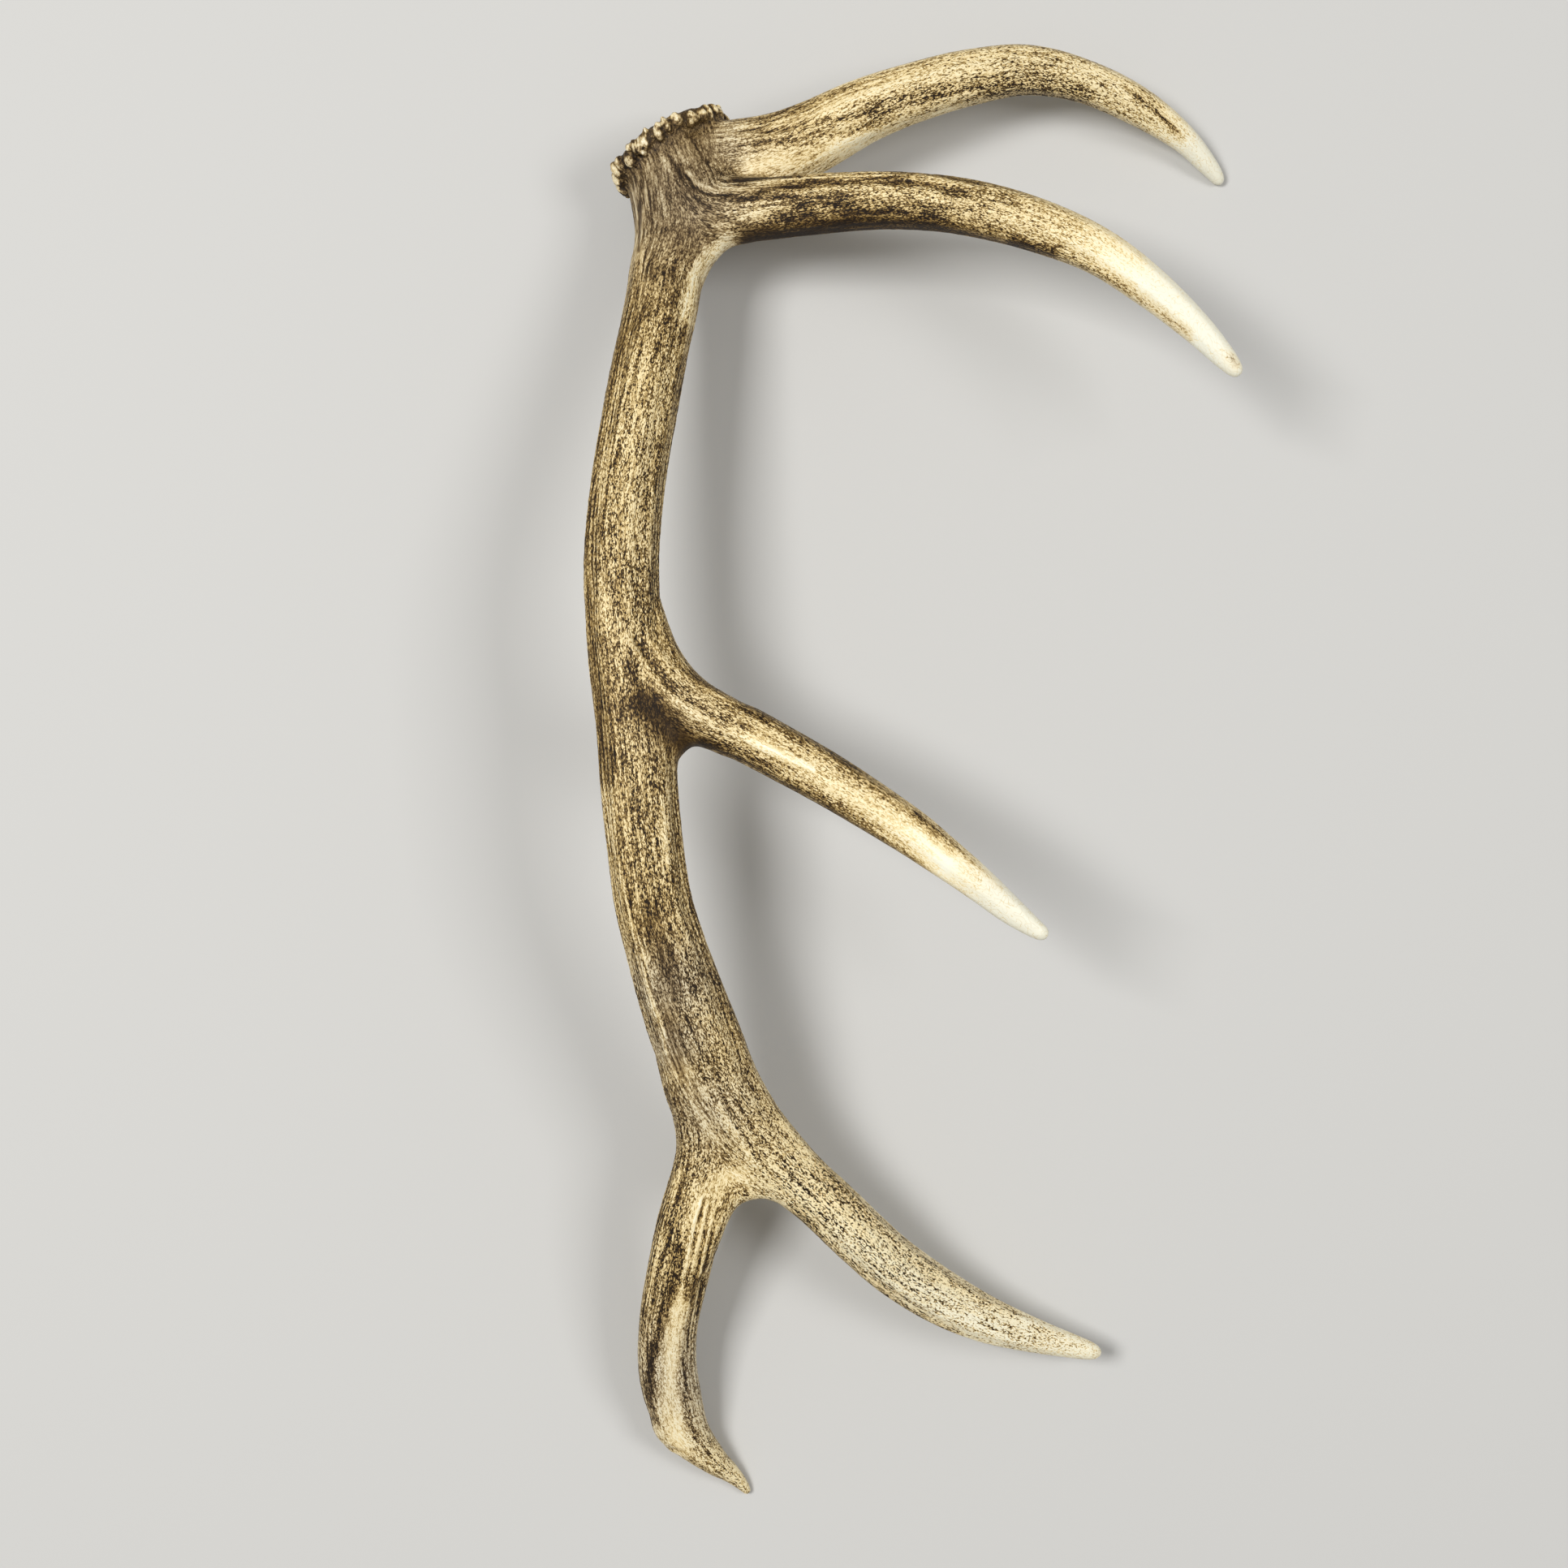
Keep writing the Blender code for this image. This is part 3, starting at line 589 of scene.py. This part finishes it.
    (0.34, -0.2, 0, 1.3, [(204, 397), (211, 392), (218, 387)]),
    (0.30, -0.2, 0, 1.3, [(213, 386), (219, 381), (225, 377)]),
    (0.22, 0, 0, 3.2, [(-16, 372), (11, 381), (43, 391), (79, 403)]),
    (0.26, -0.6, 0, 1.7, [(-18, 366), (-2, 365), (14, 369), (34, 371), (52, 377)]),
    (0.26, -0.6, 0, 1.7, [(-16, 358), (6, 360), (20, 364), (34, 363), (61, 372)]),
    (-0.18, 0, -0.3, 7.0, [(-18, 346), (15, 351), (46, 361), (76, 370), (98, 379)]),
    (0.28, 0, 0.2, 4.6, [(48, 375), (66, 381), (85, 387), (107, 392), (140, 395), (172, 391)]),
    (-0.14, 0, -0.2, 6.0, [(22, 379), (50, 389), (80, 397)]),
    (-0.12, 0, 0, 6.2, [(97, 403), (130, 410), (158, 409), (187, 398)]),
    (0.26, 0, 0, 2, [(201, 392), (216, 383), (229, 373)]),
]
GREY_PLACES = [  # where the stain is more grey than brown, how far each reaches and its share of grey
    ((-62, 330), 46, 1.0), ((-38, 355), 24, 0.8), ((-58, 34), 20, 0.3), ((-62, -110), 24, 1.0),
    ((-59, -140), 18, 1.0), ((-44, -180), 26, 0.7), ((-62, -340), 36, 1.0), ((240, 227), 9, 1.0),
]
RAGGED = 1.6  # mm by which the edges of the wide marks wander
BURR_REACH = 46  # mm from the burr's axis
BURR_BACK = -14  # mm past its middle, where the neck's ribs begin
BURR_LUMPS = 3.2  # mm
CAST_FACE_INSET = 6.5  # mm from the burr's middle
CAST_FACE_RADIUS = 34
CAST_FACE_DOME = 1.2  # mm that its middle stands out
CAST_FACE_PITS = 2.4  # mm
WORN_FLAT = np.array((-62, -335, 46))
WORN_SLOPE = math.radians(22.3)
WORN_REACH = 62  # mm along the tine to each side of the flat's middle
WORN_SIDE = -38  # mm, the flat lies left of this
WORN_EDGE = 0.5  # mm, how softly the flat meets the rest of its tine
FACES_KEPT = 0.5  # the ribs run lengthwise, so faces can be long that way


def seen_from_above(points):
    """Where points are from above, and a wander for each that gives marks uneven edges."""
    wander = [grain(points / 4.5 + seed) + 0.6 * grain(points / 2.2 + seed) for seed in (31, 57)]
    return points[:, :2], np.stack(wander, 1)


def nearness(seen, reach, stops):
    """1 on a line through stops and fading to 0 within about twice the reach."""
    points = seen[0] + min(RAGGED, reach * 0.4) * seen[1]
    least = np.full(len(points), np.inf)
    stops = np.array(stops, float)
    for start, end in zip(stops, stops[1:]):
        run = end - start
        share = np.clip(((points - start) @ run) / (run @ run), 0, 1)[:, None]
        gap = points - start - share * run
        least = np.minimum(least, (gap**2).sum(1))
    return np.exp(-least / reach**2)


def upper_side(normals):
    """1 on the side that shows, fading to 0 round the edge of it."""
    return np.clip(normals[:, 2] * 2.5 + 0.8, 0, 1)


def about_burr(points):
    """How far points lie past the burr's middle along its axis, and how far out from the axis."""
    gap = points - BURR_MIDDLE
    past = gap @ np.array(BURR_AXIS)
    return past, np.linalg.norm(gap - past[:, None] * BURR_AXIS, axis=1)


places = vertex_places(antler)
normals = outward(places, corner_rows(antler.data))
height = grow_relief(places)
shown = upper_side(normals)
seen = seen_from_above(places)
for _, lift, _, reach, stops in MARKS:
    if lift:
        height += lift * shown * nearness(seen, reach, stops)

past_burr, round_burr = about_burr(places)
at_burr = (round_burr < BURR_REACH) & (past_burr > BURR_BACK)
height[at_burr] = 0.5 * height[at_burr] + 0.5 * grain(places[at_burr] / BURR_LUMPS + 41)
places += normals * height[:, None]

# The worn flat is ground off square; the cast face is broken off, a little domed and pitted.
worn = (np.abs(places[:, 1] - WORN_FLAT[1]) < WORN_REACH) & (places[:, 0] < WORN_SIDE)
grind = np.array((0, -math.sin(WORN_SLOPE), math.cos(WORN_SLOPE)))
above = (places - WORN_FLAT) @ grind
above = np.where(worn, (above + np.hypot(above, WORN_EDGE)) / 2, 0)
places -= above[:, None] * grind
past_burr, _ = about_burr(places)
dome = CAST_FACE_DOME * np.clip(1 - (round_burr / CAST_FACE_RADIUS) ** 2, 0, 1)
dome += 0.5 * grain(places / CAST_FACE_PITS)
past_face = past_burr - CAST_FACE_INSET - dome
cast = (round_burr < BURR_REACH) & (past_burr > 0) & (past_face > 0)
places -= np.where(cast, past_face, 0)[:, None] * BURR_AXIS
move_vertices(antler, places)
finish_with(antler, "DECIMATE", ratio=FACES_KEPT)

# The stain, the speckle, the grooves and the straightened places are kept on the vertices. Tines
# that never meet can share one set of straightened places.
GRAINS = {"beam": ["beam"], "tine": ["brow", "trez", "rear_crown"], "bez": ["bez"]}
FLANK_CALM = 0.25  # how much less speckled the flanks are than the top
FLANK_PALER = 0.07
TOP_LINED = 0.4  # share of the flanks' lines that the top has
COLLAR_LENGTH = 11  # mm to each side of the burr's middle
COLLAR_START = 22  # mm from the burr's axis
COLLAR_FADE = 8
COLLAR_STAIN = 0.78
RUBBED_STAIN = 0.2
CAST_FACE_STAIN = 0.42

places = vertex_places(antler)
normals = outward(places, corner_rows(antler.data))
shown = upper_side(normals)
stain = np.zeros(len(places))
speckle = np.zeros(len(places))
lined = np.zeros(len(places))
groove_depth = np.zeros(len(places))
share = {name: np.zeros(len(places)) for name in GRAINS}
straight = {name: np.zeros_like(places) for name in GRAINS}
furrowed = 1 - SMOOTH_WEB * near_fork(places, WEB_FADE)
for name, (unbent, weight) in straightened(places).items():
    rib_depth, its_stain, its_speckle, its_lines = finish_along(name, unbent)
    stain += weight * its_stain
    groove, flank = ribs(name, unbent)
    speckle += weight * its_speckle * (1 - FLANK_CALM * flank)
    stain -= weight * rib_depth * FLANK_PALER * flank
    lined += weight * its_lines * (TOP_LINED + (1 - TOP_LINED) * flank)
    groove_depth += weight * groove * rib_depth * furrowed
    its_grain = next(key for key, names in GRAINS.items() if name in names)
    nearer = weight > share[its_grain]
    straight[its_grain][nearer] = unbent[nearer]
    share[its_grain] = np.maximum(share[its_grain], weight)
polish = np.clip(1.3 - 6 * stain, 0, 1)  # all of it under a stain of 0.05, and none past 0.22
seen = seen_from_above(places)
for darker, _, more_speckled, reach, stops in MARKS:
    near = shown * nearness(seen, reach, stops)
    stain += darker * near
    speckle += more_speckled * near
    lined += more_speckled * near

# Grey places leave bare bone as it is, and the polished tips are a cooler ivory than the rest.
grey = np.zeros(len(places))
for middle, reach, most in GREY_PLACES:
    grey = np.maximum(grey, most * nearness(seen, reach, [middle, np.add(middle, (0, 1))]))
grey = np.maximum(grey * np.clip((stain - 0.1) * 4, 0, 1), 0.6 * polish**2)

# Pearls are rubbed pale on top, and the collar between and behind them is dark.
past_burr, round_burr = about_burr(places)
on_collar = np.clip(1.2 - np.abs(past_burr) / COLLAR_LENGTH, 0, 1)
on_collar *= np.clip((round_burr - COLLAR_START) / COLLAR_FADE, 0, 1)
stain = stain * (1 - on_collar) + COLLAR_STAIN * on_collar
near_burr = np.flatnonzero((round_burr < BURR_REACH) & (np.abs(past_burr) < BURR_SIZE[2]))
for middle, size, turn in pearls:
    turned = (places[near_burr] - middle) @ np.array(turn.to_3x3()) / (np.array(size) / 2)
    on_pearl = np.clip((1.25 - np.linalg.norm(turned, axis=1)) * 4, 0, 1)
    rubbed = grain(places[near_burr] / 2.4 + 17) - 1.6 * turned[:, 1] - 0.5
    on_pearl *= np.clip(rubbed, 0, 1)
    stain[near_burr] += (RUBBED_STAIN - stain[near_burr]) * on_pearl
on_face = np.clip((past_burr - CAST_FACE_INSET + 0.8) * 2, 0, 1) * (round_burr < 40)
stain += (CAST_FACE_STAIN - stain) * on_face

kept_numbers = {
    "stain": stain, "speckle": speckle, "lined": lined, "groove": groove_depth, "grey": grey,
    "polish": polish, **{name + "_share": values for name, values in share.items()},
}
for name, values in kept_numbers.items():
    antler.data.attributes.new(name, "FLOAT", "POINT").data.foreach_set("value", values)
kept_vectors = {name + "_straight": values for name, values in straight.items()}
kept_vectors["whole_normal"] = normals
for name, values in kept_vectors.items():
    antler.data.attributes.new(name, "FLOAT_VECTOR", "POINT").data.foreach_set("vector", values.ravel())

# --- The antler's surface ---
# Cast antler bone, weathered and then handled: matt and dark in its pits and grooves, and polished
# to a creamy, half-glossy ivory on the ridges and the tips, where fine scratches show.

# Each pattern's size in mm across and along the bone, its octaves, how far it gathers in the strands,
# the levels of noise where it is absent and full, its strength, and what it follows. Real pits, vessel
# marks and scratches are 0.1 to 0.5 mm wide; here they are as coarse as they need to be to show.
PATTERNS = {
    "strands": (2.6, 42.0, 1.0, 0.0, -0.14, 0.14, 0.14, "speckle"),
    "pits": (0.7, 1.8, 1.0, 0.15, -0.06, 0.10, 0.5, "speckle"),
    "curls": (1.4, 3.2, 1.0, 0.0, 0.09, 0.01, 0.45, "speckle"),
    "worm_marks": (2.0, 8.0, 1.0, 0.2, 0.02, 0.14, 0.18, "speckle"),
    "vessel_lines": (1.4, 30.0, 2.0, 0.0, -0.12, 0.14, 0.42, "lined"),
    "scratches": (1.8, 3.0, 0.0, 0.0, 0.04, 0.0, 0.32, "polish"),
}
CLOUD = 16.0  # mm, broad clouds of darker and paler bone
CLOUD_STRENGTH = 0.25
GROOVE_STAIN = 0.5
PALEST = 0.4  # of the stain, between the pits
BUMP_HEIGHT = 0.0006  # metres
STAIN_COLOURS = [  # from bare bone to the bottom of a pit
    (0.0, "F0EEDA"), (0.05, "F3EBCD"), (0.12, "F1E2B8"), (0.26, "E9D39F"), (0.42, "C0A56C"),
    (0.56, "8F7443"), (0.70, "614A21"), (0.84, "3C290B"), (1.0, "1C1003"),
]
GREY_STAIN_COLOURS = [
    (0.0, "E4E2D2"), (0.28, "D4C7A8"), (0.5, "9E8B69"), (0.64, "725F43"), (0.8, "45351F"), (1.0, "20160A"),
]


def linear(hex_colour):
    """An sRGB hex colour as linear red, green, blue and alpha."""
    levels = [int(hex_colour[i : i + 2], 16) / 255 for i in (0, 2, 4)]
    return (*[c / 12.92 if c <= 0.04045 else ((c + 0.055) / 1.055) ** 2.4 for c in levels], 1)


def new_material(name):
    material = bpy.data.materials.new(name)
    material.use_nodes = True
    return material, material.node_tree, material.node_tree.nodes["Principled BSDF"]


def add_node(tree, kind, inputs=None, **settings):
    """Adds a node, sets its settings, sets or links its inputs, and returns its outputs."""
    node = tree.nodes.new(kind)
    for key, value in settings.items():
        if key == "ramp":
            while len(node.color_ramp.elements) < len(value):
                node.color_ramp.elements.new(0.5)
            for element, (place, colour) in zip(node.color_ramp.elements, value):
                element.position = place
                element.color = linear(colour)
        else:
            setattr(node, key, value)
    for key, value in (inputs or {}).items():
        if isinstance(value, bpy.types.NodeSocket):
            tree.links.new(value, node.inputs[key])
        else:
            node.inputs[key].default_value = value
    return node.outputs


bone, tree, surface = new_material("weathered_antler_bone")
on_skin = {
    name: add_node(tree, "ShaderNodeAttribute", attribute_name=name)["Fac"] for name in kept_numbers
}
places_on_skin = {
    name: add_node(tree, "ShaderNodeAttribute", attribute_name=name + "_straight")["Vector"]
    for name in GRAINS
}
marks = {}
strands = 0.0
for pattern, (across, along, octaves, gathered, low, high, _, _) in PATTERNS.items():
    total = add_node(tree, "ShaderNodeMath", {0: strands, 1: gathered}, operation="MULTIPLY")[0]
    for name in GRAINS:
        scaled = add_node(
            tree, "ShaderNodeVectorMath",
            {0: places_on_skin[name], 1: (1 / across, 1 / across, 1 / along)}, operation="MULTIPLY",
        )["Vector"]
        noise = add_node(
            tree, "ShaderNodeTexNoise",
            {"Vector": scaled, "Scale": 1.0, "Detail": octaves, "Roughness": 0.6},
        )["Fac"]
        centred = add_node(tree, "ShaderNodeMath", {0: noise, 1: 0.5}, operation="SUBTRACT")[0]
        total = add_node(
            tree, "ShaderNodeMath", {0: centred, 1: on_skin[name + "_share"], 2: total},
            operation="MULTIPLY_ADD",
        )[0]
    if pattern == "strands":
        strands = total
    if pattern in ("curls", "scratches"):
        total = add_node(tree, "ShaderNodeMath", {0: total}, operation="ABSOLUTE")[0]
    marks[pattern] = add_node(
        tree, "ShaderNodeMapRange",
        {"Value": total, "From Min": low, "From Max": high, "To Min": -0.4, "To Max": 0.6},
        interpolation_type="SMOOTHSTEP",
    )["Result"]
skin_place = add_node(tree, "ShaderNodeTexCoord")["Object"]
cloud = add_node(
    tree, "ShaderNodeTexNoise", {"Vector": skin_place, "Scale": 1000 / CLOUD, "Detail": 1.0}
)["Fac"]
depth_of_stain = add_node(
    tree, "ShaderNodeMath", {0: cloud, 1: CLOUD_STRENGTH, 2: -CLOUD_STRENGTH / 2}, operation="MULTIPLY_ADD"
)[0]
depth_of_stain = add_node(
    tree, "ShaderNodeMath", {0: depth_of_stain, 1: on_skin["stain"]}, operation="ADD"
)[0]
relief = 0.0
for pattern, (*_, strength, follows) in PATTERNS.items():
    mark = add_node(
        tree, "ShaderNodeMath", {0: marks[pattern], 1: on_skin[follows]}, operation="MULTIPLY"
    )[0]
    relief = add_node(
        tree, "ShaderNodeMath", {0: mark, 1: strength, 2: relief}, operation="MULTIPLY_ADD"
    )[0]
depth_of_stain = add_node(tree, "ShaderNodeMath", {0: depth_of_stain, 1: relief}, operation="ADD")[0]
palest = add_node(tree, "ShaderNodeMath", {0: on_skin["stain"], 1: PALEST}, operation="MULTIPLY")[0]
depth_of_stain = add_node(tree, "ShaderNodeMath", {0: depth_of_stain, 1: palest}, operation="MAXIMUM")[0]
depth_of_stain = add_node(
    tree, "ShaderNodeMath", {0: on_skin["groove"], 1: GROOVE_STAIN, 2: depth_of_stain},
    operation="MULTIPLY_ADD",
)[0]
brown = add_node(tree, "ShaderNodeValToRGB", {"Fac": depth_of_stain}, ramp=STAIN_COLOURS)["Color"]
greyer = add_node(tree, "ShaderNodeValToRGB", {"Fac": depth_of_stain}, ramp=GREY_STAIN_COLOURS)["Color"]
colour = add_node(
    tree, "ShaderNodeMixRGB", {"Fac": on_skin["grey"], "Color1": brown, "Color2": greyer}
)["Color"]
tree.links.new(colour, surface.inputs["Base Color"])
gloss = add_node(
    tree, "ShaderNodeMapRange",
    {"Value": depth_of_stain, "From Min": 0.1, "From Max": 0.8, "To Min": 0.32, "To Max": 0.62},
)["Result"]
tree.links.new(gloss, surface.inputs["Roughness"])
surface.inputs["IOR"].default_value = 1.54
surface.inputs["Specular IOR Level"].default_value = 0.2
bump = add_node(
    tree, "ShaderNodeBump", {"Strength": 0.45, "Distance": BUMP_HEIGHT, "Height": relief}, invert=True
)["Normal"]
tree.links.new(bump, surface.inputs["Normal"])

# --- The seven pieces ---
# The bone has no joints. It is parted at its main forks, where each tine leaves, so that each
# branch is a piece of its own; the pieces meet face to face and are shaded as one skin.

MM = 0.001
HOME = np.array((-74.02125, -2.49636, -0.36729))  # mm, the lines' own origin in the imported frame
PARTINGS = [  # a stretch, its station where the cut lies, and the cut's width in mm
    ("beam", 9, 58), ("beam", 17, 58), ("rear_crown", 6, 52),
    ("brow", 3, 46), ("bez", 5, 42), ("trez", 3, 44),
]
CUT_MARGIN = 4  # mm
PIECES = {  # the node that each piece stands for, a place on it, and its finish
    "lower_beam": ((-85, 150, 103), "antler_beam"),
    "brow_tine": ((106, 400, 50), "antler_tine"),
    "bez_tine": ((112, 312, 101), "antler_tine"),
    "upper_beam": ((-65, -86, 104), "antler_beam"),
    "trez_tine": ((64, -24, 136), "antler_tine"),
    "crown_front_tine": ((92, -293, 42), "antler_tine"),
    "crown_rear_tine": ((-66, -320, 38), "antler_tine"),
}

whole = bmesh.new()
whole.from_mesh(antler.data)
for name, station, width in PARTINGS:
    stations = STRETCHES[name]
    place = Vector(stations[station][:3])
    ahead = (Vector(stations[station + 1][:3]) - Vector(stations[station - 1][:3])).normalized()
    near = set()
    for vert in whole.verts:
        gap = vert.co - place
        if abs(gap.dot(ahead)) < CUT_MARGIN and gap.length < width / 2 + CUT_MARGIN:
            near.add(vert)
    faces = {face for vert in near for face in vert.link_faces}
    edges = {edge for face in faces for edge in face.edges}
    verts = {vert for face in faces for vert in face.verts}
    cut = bmesh.ops.bisect_plane(
        whole, geom=[*verts, *edges, *faces], dist=1e-4, plane_co=place, plane_no=ahead
    )
    seam = [item for item in cut["geom_cut"] if isinstance(item, bmesh.types.BMEdge)]
    bmesh.ops.split_edges(whole, edges=seam)
open_edges = [edge for edge in whole.edges if edge.is_boundary]
bmesh.ops.edgeloop_fill(whole, edges=open_edges)
whole.to_mesh(antler.data)
whole.free()

bpy.ops.object.select_all(action="DESELECT")
antler.select_set(True)
bpy.context.view_layer.objects.active = antler
bpy.ops.object.mode_set(mode="EDIT")
bpy.ops.mesh.select_all(action="SELECT")
bpy.ops.mesh.separate(type="LOOSE")
bpy.ops.object.mode_set(mode="OBJECT")
parted = list(bpy.context.selected_objects)
for node, (place, slot) in PIECES.items():
    piece = min(parted, key=lambda one: np.linalg.norm(vertex_places(one) - place, axis=1).min())
    parted.remove(piece)
    piece.name = node + "_bone"
    piece.data.name = piece.name
    move_vertices(piece, (vertex_places(piece) + HOME) * MM)
    whole_normals = np.empty(len(piece.data.vertices) * 3)
    piece.data.attributes["whole_normal"].data.foreach_get("vector", whole_normals)
    piece.data.polygons.foreach_set("use_smooth", [True] * len(piece.data.polygons))
    piece.data.normals_split_custom_set_from_vertices(whole_normals.reshape(-1, 3))
    piece.data.attributes.remove(piece.data.attributes["whole_normal"])
    piece.data.materials.append(bone)
    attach(piece, "root")
    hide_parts(node)

# --- The floor ---
# A sheet of pale matt card that the antler lies on, wide enough to fill every view. It isn't part of
# the antler.

bpy.ops.mesh.primitive_plane_add(size=8, location=(0, 0, 0))
floor = bpy.context.active_object
floor.name = "floor"
card, tree, surface = new_material("matt_card")
surface.inputs["Base Color"].default_value = linear("C4C3C0")
surface.inputs["Roughness"].default_value = 0.85
floor.data.materials.append(card)

# --- The light and the camera ---
# Two soft boxes, the stronger one on the left, over a weak and even light from all round. The camera
# is straight above and looks down.


def soft_box(name, place, side, watts):
    """A square light, its side in metres, that faces the antler."""
    light = bpy.data.lights.new(name, "AREA")
    light.size = side
    light.energy = watts
    lamp = bpy.data.objects.new(name, light)
    lamp.location = place
    lamp.rotation_euler = Vector(place).to_track_quat("Z", "Y").to_euler()
    bpy.context.scene.collection.objects.link(lamp)


soft_box("left_light", (-1.84, 0.50, 3.52), 1.2, 117)
soft_box("right_light", (2.2, 0.35, 3.32), 1.4, 56)
world = bpy.data.worlds.new("studio")
world.use_nodes = True
world.node_tree.nodes["Background"].inputs["Color"].default_value = linear("F2F1EE")
world.node_tree.nodes["Background"].inputs["Strength"].default_value = 0.35
bpy.context.scene.world = world
bpy.context.scene.view_settings.view_transform = "Standard"

CAMERA_HEIGHT = 1.45
SENSOR_WIDTH = 36  # mm
PICTURE_WIDTH = 1932  # pixels
FOCAL_LENGTH = 3044  # pixels
camera = bpy.data.cameras.new("camera")
camera.sensor_width = SENSOR_WIDTH
camera.lens = SENSOR_WIDTH * FOCAL_LENGTH / PICTURE_WIDTH
viewer = bpy.data.objects.new("camera", camera)
viewer.location = (HOME[0] * MM, HOME[1] * MM, CAMERA_HEIGHT + HOME[2] * MM)
bpy.context.scene.collection.objects.link(viewer)
bpy.context.scene.camera = viewer
